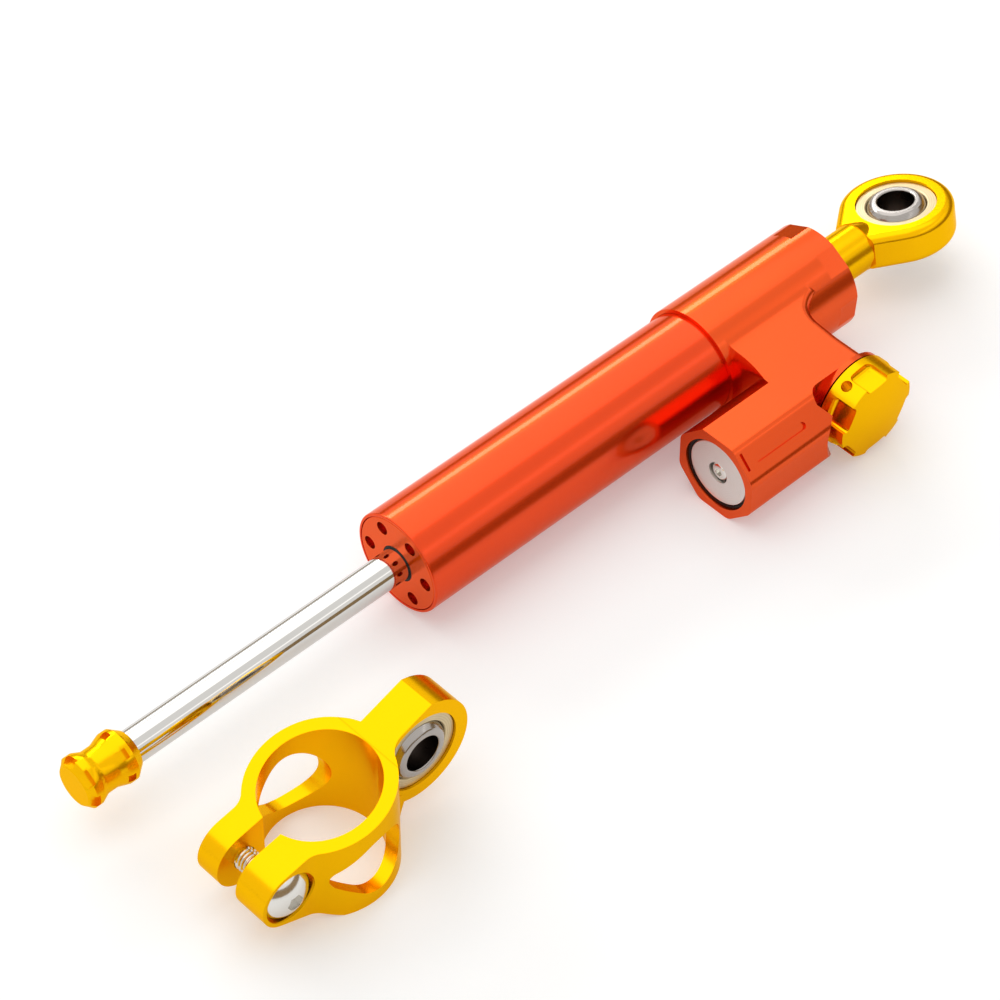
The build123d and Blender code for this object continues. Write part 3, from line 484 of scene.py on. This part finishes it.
def paint(piece, node):
    """Puts a node's finish on a piece or on the solid itself."""
    piece.data.materials.clear()
    piece.data.materials.append(materials[own_finishes.get(node, finish_of(node))])


def settle(piece, node):
    """Makes a piece ride with a node's body and stand for that node."""
    paint(piece, node)
    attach(piece, body_of(node))
    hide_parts(node)


# Sizes, colours and levels


class DamperFinishes(bpy.types.PropertyGroup):
    """Colours of the anodised pieces."""

    orange: FloatVectorProperty(
        name="Orange",
        description="Dye of the barrel and head",
        subtype="COLOR",
        default=(0.82, 0.088, 0.01),
        min=0.0,
        max=1.0,
    )
    gold: FloatVectorProperty(
        name="Gold",
        description="Dye of the eye, spool, knob and clamp",
        subtype="COLOR",
        default=(0.94, 0.5, 0.001),
        min=0.0,
        max=1.0,
    )


class DamperEdges(bpy.types.PropertyGroup):
    """Rounds of the broken edges, and the clamp's bolt recess."""

    block: FloatProperty(
        name="Block edges",
        description="Round on the edges of the head, clamp, eye, knob and spool",
        default=0.25 * millimetre,
        min=0.05 * millimetre,
        unit="LENGTH",
    )
    fine: FloatProperty(
        name="Fine edges",
        description="Round on the barrel, front cap, plug and ball bores",
        default=0.15 * millimetre,
        min=0.05 * millimetre,
        unit="LENGTH",
    )
    race: FloatProperty(
        name="Race edges",
        description="Round on the rims of the bearing races",
        default=0.2 * millimetre,
        min=0.05 * millimetre,
        unit="LENGTH",
    )
    ball: FloatProperty(
        name="Ball rims",
        description="Round on the outer rims of the bearing balls",
        default=0.6 * millimetre,
        min=0.1 * millimetre,
        unit="LENGTH",
    )
    recess: FloatProperty(
        name="Bolt recess",
        description="Radius of the recess round the pinch bolt's head",
        default=7.12 * millimetre,
        min=6.6 * millimetre,
        unit="LENGTH",
    )


class DamperScrew(bpy.types.PropertyGroup):
    """Sizes of the gas screw's dome and socket."""

    socket: FloatProperty(
        name="Socket",
        description="Hex socket across flats",
        default=2.0 * millimetre,
        min=0.5 * millimetre,
        unit="LENGTH",
    )
    socket_depth: FloatProperty(
        name="Socket depth",
        description="Depth of the hex socket",
        default=1.1 * millimetre,
        min=0.2 * millimetre,
        unit="LENGTH",
    )
    proud: FloatProperty(
        name="Dome",
        description="How far the dome stands in front of the plain screw",
        default=0.6 * millimetre,
        min=0.0,
        unit="LENGTH",
    )


class DamperBolt(bpy.types.PropertyGroup):
    """Sizes of the pinch bolt's thread."""

    pitch: FloatProperty(
        name="Thread pitch",
        description="Distance from one thread to the next",
        default=1.0 * millimetre,
        min=0.3 * millimetre,
        unit="LENGTH",
    )
    depth: FloatProperty(
        name="Thread depth",
        description="Depth of the thread below the shank",
        default=0.5 * millimetre,
        min=0.1 * millimetre,
        unit="LENGTH",
    )


class DamperStudio(bpy.types.PropertyGroup):
    """Levels of the studio's lights, where 1 is white."""

    room: FloatProperty(
        name="Room", description="Level of the room in reflections", default=1.0, min=0.0
    )
    fill: FloatProperty(
        name="Fill", description="Level of the room's soft light", default=0.6, min=0.0
    )
    floor: FloatProperty(
        name="Floor", description="Lift of the floor towards white", default=0.27, min=0.0
    )
    top: FloatProperty(
        name="Top softbox", description="Level that the top softbox adds", default=0.75, min=0.0
    )
    strip: FloatProperty(
        name="Rear strip", description="Level that the rear strip adds", default=6.0, min=0.0
    )
    front: FloatProperty(
        name="Front strip", description="Level that the front strip adds", default=0.5, min=0.0
    )


# The pieces


class DAMPER_OT_finishes(bpy.types.Operator):
    """Make every finish and put it on the solids"""

    bl_idname = "damper.finishes"
    bl_label = "Finishes"

    def execute(self, context):
        chosen = context.scene.damper_finishes
        orange = tuple(chosen.orange)
        gold = tuple(chosen.gold)
        tube = toned(orange, (1.0, 0.77, 1.0))
        orange_depth, gold_depth = (0.93, 0.86, 0.8), (0.95, 0.92, 0.9)
        warm, amber = (1.0, 0.6, 0.45), (1.0, 0.82, 0.3)
        materials["orange_alloy"] = anodised(
            "orange anodised alloy",
            colour=orange,
            deep=toned(orange, orange_depth),
            grain=(0.03, 1.0, 1.0),
            coat=0.28,
            edge=warm,
        )
        materials["orange tube"] = anodised(
            "orange anodised tube",
            colour=tube,
            deep=toned(tube, orange_depth),
            grain=(1.0, 0.04, 0.04),
            coat=0.3,
            edge=warm,
        )
        materials["gold_alloy"] = anodised(
            "gold anodised alloy",
            colour=gold,
            deep=toned(gold, gold_depth),
            grain=(1.0, 1.0, 0.05),
            coat=0.02,
            edge=amber,
        )

        drawn, even = (0.05, 1.0, 1.0), (1.0, 1.0, 1.0)
        materials["chrome"] = bare_metal(
            "hard chrome",
            colour=(0.66, 0.645, 0.62),
            dull=(0.62, 0.605, 0.58),
            roughness=0.04,
            spread=0.03,
            grain=drawn,
        )
        materials["screw_steel"] = bare_metal(
            "screw steel",
            colour=(0.8, 0.78, 0.74),
            dull=(0.7, 0.68, 0.64),
            roughness=0.1,
            spread=0.08,
            grain=even,
        )
        # Dark steel that paints the shade inside hex sockets; the screws' own steel is bright
        materials["dark socket"] = bare_metal(
            "dark socket steel",
            colour=(0.2, 0.18, 0.16),
            dull=(0.12, 0.105, 0.09),
            roughness=0.3,
            spread=0.1,
            grain=even,
        )
        materials["bush_bronze"] = bare_metal(
            "bush bronze",
            colour=(0.6, 0.42, 0.22),
            dull=(0.5, 0.34, 0.18),
            roughness=0.35,
            spread=0.15,
            grain=drawn,
        )
        materials["needle_brass"] = bare_metal(
            "needle brass",
            colour=(0.8, 0.6, 0.28),
            dull=(0.7, 0.5, 0.22),
            roughness=0.25,
            spread=0.12,
            grain=drawn,
        )

        low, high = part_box("clamp_ball")
        clamp_middle = (low + high) / 2
        steel, steel_dull = (0.44, 0.41, 0.38), (0.34, 0.31, 0.29)
        cream, cream_dull = (0.66, 0.55, 0.34), (0.52, 0.42, 0.24)
        # Radius of the bore whose inside the ball finish darkens with painted shade
        bore = 5.0 * millimetre
        race_pitch = 0.6 * millimetre
        bearings = (
            ("rear", (0, 0, 0), eye_axis, 0.11, 0.28),
            ("clamp", clamp_middle, across, 0.12, 0.3),
        )
        for place, centre, axis, ball_roughness, race_roughness in bearings:
            ball, race = place + " ball", place + " race"
            materials[ball] = turned_metal(
                ball + " steel", steel, steel_dull, ball_roughness, centre, axis, bore=bore
            )
            materials[race] = turned_metal(
                race + " steel", cream, cream_dull, race_roughness, centre, axis, pitch=race_pitch
            )
        materials["ball_steel"] = materials["rear ball"]
        materials["race_steel"] = materials["rear race"]
        low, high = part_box("reservoir_plug")
        materials["silver_alloy"] = turned_metal(
            "silver turned alloy",
            colour=(0.78, 0.74, 0.71),
            dull=(0.7, 0.66, 0.62),
            roughness=0.26,
            centre=(low + high) / 2,
            axis=lengthwise,
            pitch=0.5 * millimetre,
        )

        materials["seal_rubber"] = dark_rubber("seal rubber")
        materials["band_plastic"] = dark_rubber("band plastic", (0.02, 0.018, 0.016))
        for node, solid in frame["nodes"].items():
            paint(solid, node)
        return {"FINISHED"}


class DAMPER_OT_housings(bpy.types.Operator):
    """Break the edges of the machined pieces"""

    bl_idname = "damper.housings"
    bl_label = "Machined pieces"

    def execute(self, context):
        chosen = context.scene.damper_edges
        rims = {
            "head_block": chosen.block,
            "barrel_tube": chosen.fine,
            "front_gland": chosen.fine,
            "spool": chosen.block,
            "rear_eye": chosen.block,
            "rear_race": chosen.race,
            "clamp_race": chosen.race,
            "knob": chosen.block,
            "reservoir_plug": chosen.fine,
        }
        for node, rim in rims.items():
            shape = merged_copy(node)
            break_edges(shape, sharp_edges(shape), rim)
            flats = wrench_flat_edges(shape) if node == "head_block" else ()
            settle(finished(shape, node + "_fine", kept=flats), node)
        return {"FINISHED"}


class DAMPER_OT_screw(bpy.types.Operator):
    """Turn the gas screw's domed head and its hex socket"""

    bl_idname = "damper.screw"
    bl_label = "Gas screw"

    def execute(self, context):
        chosen = context.scene.damper_screw
        low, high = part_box("gas_screw")
        middle = (low + high) / 2
        radius = (high.y - low.y) / 2
        hex_radius = chosen.socket / math.sqrt(3.0)
        flat_share = 0.5
        # Share of the head's radius and depth below its top in millimetres, from dome to tip
        profile = (
            (0.7, 0.1),
            (0.84, 0.28),
            (0.94, 0.55),
            (0.985, 0.85),
            (1.0, 1.2),
            (1.0, 2.4),
            (0.555, 2.4),
            (0.555, 5.4),
        )
        shape = bmesh.new()
        bmesh.ops.create_circle(shape, segments=6, radius=hex_radius)
        hexagon = shape.edges[:]
        bmesh.ops.create_circle(shape, segments=48, radius=flat_share * radius)
        rim = [edge for edge in shape.edges if edge not in hexagon]
        bmesh.ops.bridge_loops(shape, edges=hexagon + rim)
        reach, depth = flat_share, 0.0
        for share, drop in profile:
            rim, corners = extruded(shape, rim)
            factor = share / reach
            bmesh.ops.scale(shape, verts=corners, vec=(factor, factor, 1.0))
            bmesh.ops.translate(shape, verts=corners, vec=(0, 0, (depth - drop) * millimetre))
            reach, depth = share, drop
        bmesh.ops.holes_fill(shape, edges=rim, sides=0)
        hexagon, corners = extruded(shape, hexagon)
        bmesh.ops.translate(shape, verts=corners, vec=(0, 0, -chosen.socket_depth))
        bmesh.ops.holes_fill(shape, edges=hexagon, sides=0)
        bmesh.ops.recalc_face_normals(shape, faces=shape.faces)

        # The screw stood upright till now; laid over, its dome looks out of the plug
        top = Vector((low.x - chosen.proud, middle.y, middle.z))
        lying = Matrix.Rotation(math.radians(-90.0), 4, "Y")
        bmesh.ops.transform(shape, verts=shape.verts, matrix=Matrix.Translation(top) @ lying)
        corner_play = 1.02
        lip = 0.1 * millimetre
        # The socket's faces get painted shade
        paint_socket_shade(shape, top, lengthwise, corner_play * hex_radius, lip)
        screw = finished(shape, "gas_screw_fine", crease=35.0)
        settle(screw, "gas_screw")
        screw.data.materials.append(materials["dark socket"])
        return {"FINISHED"}


class DAMPER_OT_clamp(bpy.types.Operator):
    """Level the clamp's spot face, clear its bolt recess and break its edges"""

    bl_idname = "damper.clamp"
    bl_label = "Clamp"

    def execute(self, context):
        chosen = context.scene.damper_edges
        shape = merged_copy("clamp")

        # The spot face round the bearing comes out to the eye's own face
        spot_face = 3.8 * millimetre
        eye_face = 5.2 * millimetre
        spot_radius = 12.6 * millimetre
        tolerance = 0.02 * millimetre
        low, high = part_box("clamp_ball")
        centre = (low + high) / 2
        sunk = centre.y - spot_face
        level = centre.y - eye_face
        for corner in shape.verts:
            near = off_axis(corner.co, centre, across) < spot_radius
            if near and abs(corner.co.y - sunk) < tolerance:
                corner.co.y = level

        # The recess round the bolt's head also goes through the ring's flank
        recess_depth = 2.2 * millimetre
        tool_length = 10.0 * millimetre
        bolt_low, bolt_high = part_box("pinch_bolt")
        bolt = (bolt_low + bolt_high) / 2
        tool_middle = (bolt.x, bolt_low.y + recess_depth - tool_length / 2, bolt.z)
        lying = Matrix.Rotation(math.radians(90.0), 4, "X")
        tool = bmesh.new()
        bmesh.ops.create_cone(
            tool,
            cap_ends=True,
            segments=96,
            radius1=chosen.recess,
            radius2=chosen.recess,
            depth=tool_length,
            matrix=Matrix.Translation(tool_middle) @ lying,
        )
        shape = carved(shape, tool)
        make_whole(shape)
        bmesh.ops.recalc_face_normals(shape, faces=shape.faces)
        break_edges(shape, sharp_edges(shape), chosen.block)
        settle(finished(shape, "clamp_fine"), "clamp")
        return {"FINISHED"}


class DAMPER_OT_balls(bpy.types.Operator):
    """Round the rims of the two bored balls"""

    bl_idname = "damper.balls"
    bl_label = "Bearing balls"

    def execute(self, context):
        chosen = context.scene.damper_edges
        rim_radius = 6.2 * millimetre
        bore_radius = 5.6 * millimetre
        for node, axis in (("rear_ball", eye_axis), ("clamp_ball", across)):
            shape = merged_copy(node)
            low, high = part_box(node)
            centre = (low + high) / 2
            outer = [
                edge
                for edge in sharp_edges(shape, sharp=25.0)
                if off_axis(edge.verts[0].co, centre, axis) > rim_radius
            ]
            break_edges(shape, outer, chosen.ball, segments=5)
            inner = [
                edge
                for edge in sharp_edges(shape, sharp=35.0)
                if off_axis(edge.verts[0].co, centre, axis) < bore_radius
            ]
            break_edges(shape, inner, chosen.fine)
            settle(finished(shape, node + "_fine"), node)
        return {"FINISHED"}


class DAMPER_OT_bolt(bpy.types.Operator):
    """Give the pinch bolt its thread"""

    bl_idname = "damper.bolt"
    bl_label = "Pinch bolt"

    def execute(self, context):
        chosen = context.scene.damper_bolt
        head_height = 4.4 * millimetre
        overlap = 0.05 * millimetre
        socket_radius = 2.35 * millimetre
        socket_lip = 0.6 * millimetre
        thread_radius = 3.0 * millimetre
        low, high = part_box("pinch_bolt")
        middle = (low + high) / 2
        seat = low.y + head_height

        # The head is the solid's own, cut off just behind its seat
        shape = merged_copy("pinch_bolt")
        cut = bmesh.ops.bisect_plane(
            shape,
            geom=shape.verts[:] + shape.edges[:] + shape.faces[:],
            plane_co=(0.0, seat + overlap, 0.0),
            plane_no=across,
            clear_outer=True,
        )
        rim = only(bmesh.types.BMEdge, cut["geom_cut"])
        bmesh.ops.holes_fill(shape, edges=rim, sides=0)
        front = Vector((middle.x, low.y, middle.z))
        # The socket's faces get painted shade
        paint_socket_shade(shape, front, across, socket_radius, socket_lip)
        head = finished(shape, "pinch_bolt_head", crease=30.0)
        settle(head, "pinch_bolt")
        head.data.materials.append(materials["dark socket"])

        turns = int((high.y - seat) / chosen.pitch) - 1
        thread = thread_shape(middle, seat, turns, thread_radius, chosen.pitch, chosen.depth)
        settle(finished(thread, "pinch_bolt_thread", crease=50.0), "pinch_bolt")
        return {"FINISHED"}


# The stage


# Middle of the set, which the lamps face and the cards stand round
set_middle = Vector((-0.13, -0.01, 0.0))


def lay_floor(level):
    """A wide pale floor, lifted towards white where the camera or a reflection sees it."""
    half_size = 6.0
    mirrored_share = 0.8
    shape = bmesh.new()
    bmesh.ops.create_grid(shape, x_segments=1, y_segments=1, size=half_size)
    bmesh.ops.translate(shape, verts=shape.verts, vec=(0, 0, table_height))
    floor = placed(shape, "floor")
    ground = Finish("pale floor")
    cloud = ground.noise(scale=3.0)
    lift = ground.ray("Is Camera Ray") + mirrored_share * ground.ray("Is Glossy Ray")
    floor.data.materials.append(
        ground.set(
            Base_Color=ground.blend(cloud, (0.82, 0.82, 0.815), (0.83, 0.83, 0.825)),
            Roughness=0.9,
            Specular_IOR_Level=0.0,
            Emission_Color=ground.blend(lift, (0, 0, 0), (1.0, 1.0, 1.0)),
            Emission_Strength=level,
        )
    )


def light_room(level, fill):
    """A room that is one level to the camera and in reflections, and softer as light."""
    world = bpy.data.worlds.new("studio")
    bpy.context.scene.world = world
    world.use_nodes = True
    sheet = NodeSheet(world.node_tree)
    seen = sheet.ray("Is Camera Ray") + sheet.ray("Is Glossy Ray")
    warmth = Vector((1.0, 0.995, 0.985))
    room = sheet.blend(seen, fill * warmth, level * warmth)
    backdrop = world.node_tree.nodes["Background"]
    sheet.feed(backdrop.inputs, {"Color": room, "Strength": 1.0})


def hang_lamps(top, strip, front):
    """Three softboxes a metre from the set's middle."""
    distance = 1.0
    # Name, turn and height in degrees, width and length in metres, level
    lamps = (
        ("top softbox", 95.0, 70.0, 1.7, 1.15, top),
        ("rear strip", 78.0, 27.0, 1.1, 0.17, strip),
        ("front strip", -46.0, 40.0, 1.4, 0.12, front),
    )
    for name, turn, height, width, length, level in lamps:
        light = bpy.data.lights.new(name, "AREA")
        light.shape = "RECTANGLE"
        light.size = width
        light.size_y = length
        light.energy = level * math.pi * width * length
        turn, height = math.radians(turn), math.radians(height)
        flat = math.cos(height)
        toward = Vector((flat * math.cos(turn), flat * math.sin(turn), math.sin(height)))
        lamp = bpy.data.objects.new(name, light)
        lamp.location = set_middle + distance * toward
        lamp.rotation_euler = toward.to_track_quat("Z", "Y").to_euler()
        bpy.context.collection.objects.link(lamp)


def card_share(turn, middle, half_width):
    """Share of its height that a card has at a turn, in degrees; it fades out at both ends."""
    fade = 12.0
    return min(1.0, max(0.0, (half_width - abs(turn - middle)) / fade))


def stand_cards():
    """Dark cards low round the table, which only reflections see."""
    ring_radius = 0.5
    low_edge, card_height, front_extra = 0.002, 0.078, 0.1
    shape = bmesh.new()
    bmesh.ops.create_circle(shape, segments=96, radius=ring_radius)
    foot = (set_middle.x, set_middle.y, table_height)
    bmesh.ops.translate(shape, verts=shape.verts, vec=foot)
    top = extruded(shape, shape.edges[:])[1]
    for corner in top:
        turn = math.degrees(math.atan2(corner.co.y - set_middle.y, corner.co.x - set_middle.x))
        front = card_share(turn, middle=-52.0, half_width=95.0)
        back = card_share(turn, middle=50.0, half_width=60.0)
        corner.co.z += low_edge + card_height * max(front, back) + front_extra * front
    cards = placed(shape, "dark_cards")
    card = Finish("dark card")
    cloud = card.noise(scale=6.0)
    cards.data.materials.append(
        card.set(
            Base_Color=card.blend(cloud, (0.3, 0.2, 0.1), (0.36, 0.25, 0.13)),
            Roughness=0.9,
            Specular_IOR_Level=0.0,
        )
    )
    cards.visible_camera = False
    cards.visible_diffuse = False
    cards.visible_shadow = False
    cards.visible_transmission = False


def place_camera():
    """The camera, fitted to the photo."""
    lens = bpy.data.cameras.new("camera")
    lens.sensor_width = 36.0
    lens.lens = 130.14
    lens.clip_start = 0.05
    lens.clip_end = 20.0
    camera = bpy.data.objects.new("camera", lens)
    camera.location = (-0.5735, -0.4503, 0.6617)
    forward = Vector((0.46868, 0.49562, -0.73125))
    camera.rotation_euler = forward.to_track_quat("-Z", "Y").to_euler()
    bpy.context.collection.objects.link(camera)
    bpy.context.scene.camera = camera


class DAMPER_OT_stage(bpy.types.Operator):
    """Set the floor, the lights, the dark cards and the camera"""

    bl_idname = "damper.stage"
    bl_label = "Stage"

    def execute(self, context):
        chosen = context.scene.damper_studio
        lay_floor(chosen.floor)
        light_room(chosen.room, chosen.fill)
        hang_lamps(chosen.top, chosen.strip, chosen.front)
        stand_cards()
        place_camera()
        context.scene.view_settings.view_transform = "Standard"
        return {"FINISHED"}


class DAMPER_PT_panel(bpy.types.Panel):
    """Lists the damper's operators"""

    bl_idname = "DAMPER_PT_panel"
    bl_label = "Damper"
    bl_space_type = "VIEW_3D"
    bl_region_type = "UI"
    bl_category = "Damper"

    def draw(self, context):
        for operator in operators:
            self.layout.operator(operator.bl_idname)


operators = (
    DAMPER_OT_finishes,
    DAMPER_OT_housings,
    DAMPER_OT_screw,
    DAMPER_OT_clamp,
    DAMPER_OT_balls,
    DAMPER_OT_bolt,
    DAMPER_OT_stage,
)
groups = {
    "damper_finishes": DamperFinishes,
    "damper_edges": DamperEdges,
    "damper_screw": DamperScrew,
    "damper_bolt": DamperBolt,
    "damper_studio": DamperStudio,
}
classes = (*groups.values(), *operators, DAMPER_PT_panel)


def register():
    for kind in classes:
        bpy.utils.register_class(kind)
    for name, group in groups.items():
        setattr(bpy.types.Scene, name, PointerProperty(type=group))


def unregister():
    for name in groups:
        delattr(bpy.types.Scene, name)
    for kind in reversed(classes):
        bpy.utils.unregister_class(kind)


def main():
    register()
    bpy.ops.damper.finishes()
    bpy.ops.damper.housings()
    bpy.ops.damper.screw()
    bpy.ops.damper.clamp()
    bpy.ops.damper.balls()
    bpy.ops.damper.bolt()
    bpy.ops.damper.stage()


if __name__ == "__main__":
    main()
